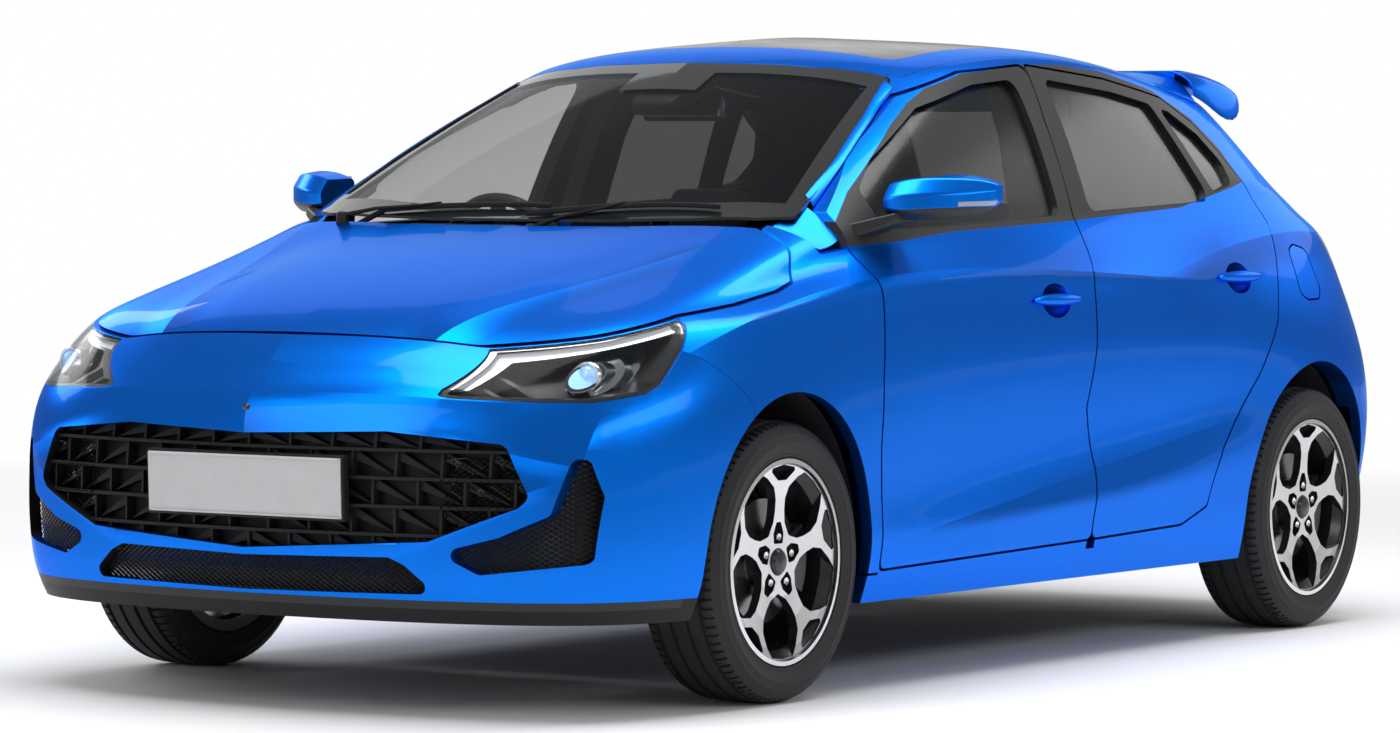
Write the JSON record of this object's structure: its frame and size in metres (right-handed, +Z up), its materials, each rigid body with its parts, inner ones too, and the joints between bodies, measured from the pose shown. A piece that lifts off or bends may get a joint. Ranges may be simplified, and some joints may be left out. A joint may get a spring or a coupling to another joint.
{
  "type": "five-door hatchback car",
  "caption": "Small five-door hatchback with hinged doors, bonnet and tailgate, steered front wheels and rolling wheels.",
  "frame": {"origin": "on the ground under the middle of the car", "axes": "+X forwards, +Y to the car's left, +Z up"},
  "size_m": [4.0902, 1.998, 1.5082],
  "materials": {
    "paint": "gloss",
    "black_trim": "matte",
    "underbody": "matte",
    "dark_glass": "gloss",
    "lamp": "gloss",
    "red_lamp": "gloss",
    "tyre": "matte",
    "alloy": "machined",
    "steel": "satin",
    "exhaust": "satin",
    "cloth": "matte"
  },
  "bodies": {
    "body": {"front_bumper": "paint", "front_wings": "paint", "body_side_left": "paint", "body_side_right": "paint", "roof": "paint", "rear_bumper": "paint", "splitter": "black_trim", "grilles": "black_trim", "cowl": "black_trim", "dashboard": "black_trim", "floor": "underbody", "windscreen": "dark_glass", "roof_glass": "dark_glass", "headlamps": "black_trim", "headlamp_lenses": "lamp", "tail_lamps": "red_lamp", "front_seats": "cloth", "rear_seat": "cloth", "engine_block": "steel", "front_subframe": "steel", "front_struts": "steel", "rear_axle": "steel", "exhaust": "exhaust"},
    "steering_wheel": {"steering_wheel": "black_trim"},
    "bonnet": {"bonnet": "paint"},
    "tailgate": {"tailgate": "paint", "tailgate_glass": "dark_glass"},
    "fuel_flap": {"fuel_flap": "paint"},
    "front_door_left": {"front_door_left": "paint", "front_door_glass_left": "dark_glass", "mirror_left": "paint"},
    "rear_door_left": {"rear_door_left": "paint", "rear_door_glass_left": "dark_glass"},
    "knuckle_left": {"knuckle_left": "steel"},
    "front_door_right": {"front_door_right": "paint", "front_door_glass_right": "dark_glass", "mirror_right": "paint"},
    "rear_door_right": {"rear_door_right": "paint", "rear_door_glass_right": "dark_glass"},
    "knuckle_right": {"knuckle_right": "steel"},
    "wheel_front_left": {"tyre_front_left": "tyre", "wheel_front_left": "alloy"},
    "wheel_front_right": {"tyre_front_right": "tyre", "wheel_front_right": "alloy"},
    "wheel_rear_left": {"tyre_rear_left": "tyre", "wheel_rear_left": "alloy"},
    "wheel_rear_right": {"tyre_rear_right": "tyre", "wheel_rear_right": "alloy"}
  },
  "joints": [
    {"name": "steer_left", "type": "hinge", "parent": "body", "child": "knuckle_left", "pos_m": [1.213, 0.73, 0.312], "axis": [0, 0, 1], "range_deg": [-33, 33]},
    {"name": "steer_right", "type": "hinge", "parent": "body", "child": "knuckle_right", "pos_m": [1.213, -0.73, 0.312], "axis": [0, 0, 1], "range_deg": [-33, 33]},
    {"name": "steering_wheel_turn", "type": "hinge", "parent": "body", "child": "steering_wheel", "pos_m": [0.5, -0.37, 0.944], "axis": [-0.9091, 0, 0.4167], "range_deg": [-483.5, 483.5]},
    {"name": "spin_front_left", "type": "hinge", "parent": "knuckle_left", "child": "wheel_front_left", "pos_m": [1.213, 0.768, 0.312], "axis": [0, 1, 0], "continuous": true},
    {"name": "spin_front_right", "type": "hinge", "parent": "knuckle_right", "child": "wheel_front_right", "pos_m": [1.213, -0.768, 0.312], "axis": [0, 1, 0], "continuous": true},
    {"name": "spin_rear_left", "type": "hinge", "parent": "body", "child": "wheel_rear_left", "pos_m": [-1.357, 0.768, 0.312], "axis": [0, 1, 0], "continuous": true},
    {"name": "spin_rear_right", "type": "hinge", "parent": "body", "child": "wheel_rear_right", "pos_m": [-1.357, -0.768, 0.312], "axis": [0, 1, 0], "continuous": true},
    {"name": "open_front_door_left", "type": "hinge", "parent": "body", "child": "front_door_left", "pos_m": [0.79, 0.887, 0.6], "axis": [0, 0, -1], "range_deg": [0, 65]},
    {"name": "open_rear_door_left", "type": "hinge", "parent": "body", "child": "rear_door_left", "pos_m": [-0.205, 0.884, 0.6], "axis": [0, 0, -1], "range_deg": [0, 68]},
    {"name": "open_front_door_right", "type": "hinge", "parent": "body", "child": "front_door_right", "pos_m": [0.79, -0.887, 0.6], "axis": [0, 0, 1], "range_deg": [0, 65]},
    {"name": "open_rear_door_right", "type": "hinge", "parent": "body", "child": "rear_door_right", "pos_m": [-0.205, -0.884, 0.6], "axis": [0, 0, 1], "range_deg": [0, 68]},
    {"name": "open_bonnet", "type": "hinge", "parent": "body", "child": "bonnet", "pos_m": [0.85, 0, 0.935], "axis": [0, -1, 0], "range_deg": [0, 48]},
    {"name": "open_tailgate", "type": "hinge", "parent": "body", "child": "tailgate", "pos_m": [-1.2895, 0, 1.4455], "axis": [0, 1, 0], "range_deg": [0, 78]},
    {"name": "open_fuel_flap", "type": "hinge", "parent": "body", "child": "fuel_flap", "pos_m": [-1.3035, 0.8405, 0.925], "axis": [0, 0.321, -0.9471], "range_deg": [0, 85]}
  ],
  "couplings": [
    {"joint": "steer_right", "follows": "steer_left", "ratio": 1},
    {"joint": "steering_wheel_turn", "follows": "steer_left", "ratio": 14.5}
  ]
}
